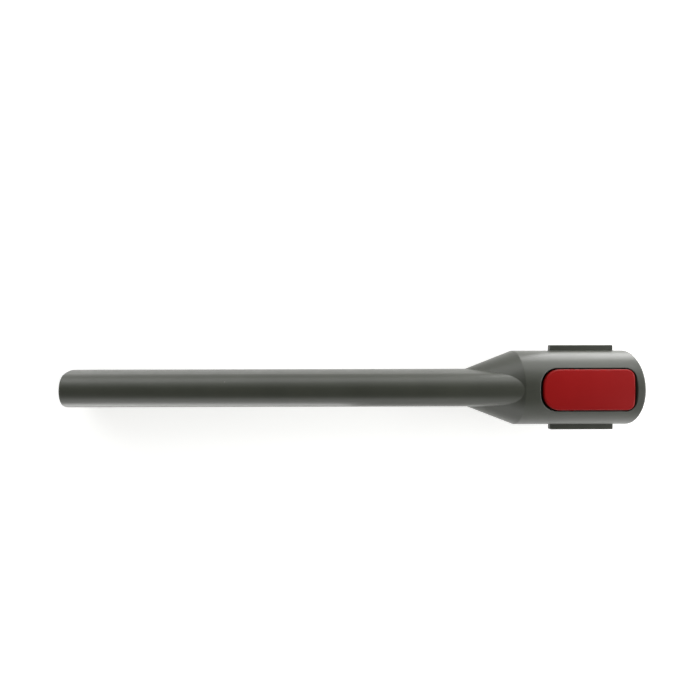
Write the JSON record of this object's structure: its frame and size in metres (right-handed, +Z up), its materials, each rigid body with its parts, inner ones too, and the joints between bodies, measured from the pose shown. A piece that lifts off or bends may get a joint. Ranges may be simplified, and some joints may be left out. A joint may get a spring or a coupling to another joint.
{
  "type": "vacuum crevice nozzle",
  "caption": "Long flat oval crevice nozzle for a cordless vacuum cleaner, with a conical shoulder, a round socket collar, side rails and a spring-loaded red release button.",
  "frame": {"origin": "on the socket axis at its stop shoulder, where the cleaner's spigot ends", "axes": "+X along the socket axis out of the mouth, with the tip at -X; +Z up through the release button; +Y to the left when looking out of the mouth"},
  "size_m": [0.3375, 0.0506, 0.05],
  "materials": {
    "grey_plastic": "satin moulded",
    "red_plastic": "semi-gloss moulded",
    "spring_steel": "bright drawn wire"
  },
  "bodies": {
    "nozzle": {"nozzle_body": "grey_plastic", "return_spring": "spring_steel"},
    "button": {"release_button": "red_plastic"}
  },
  "joints": [
    {"name": "button_press", "type": "hinge", "parent": "nozzle", "child": "button", "pos_m": [-0.0045, 0, 0.0144], "axis": [0, -1, 0], "range_deg": [0, 6.5], "stiffness_Nm_per_rad": 0.45, "springref_deg": -5.73, "deforming": ["return_spring"]}
  ]
}
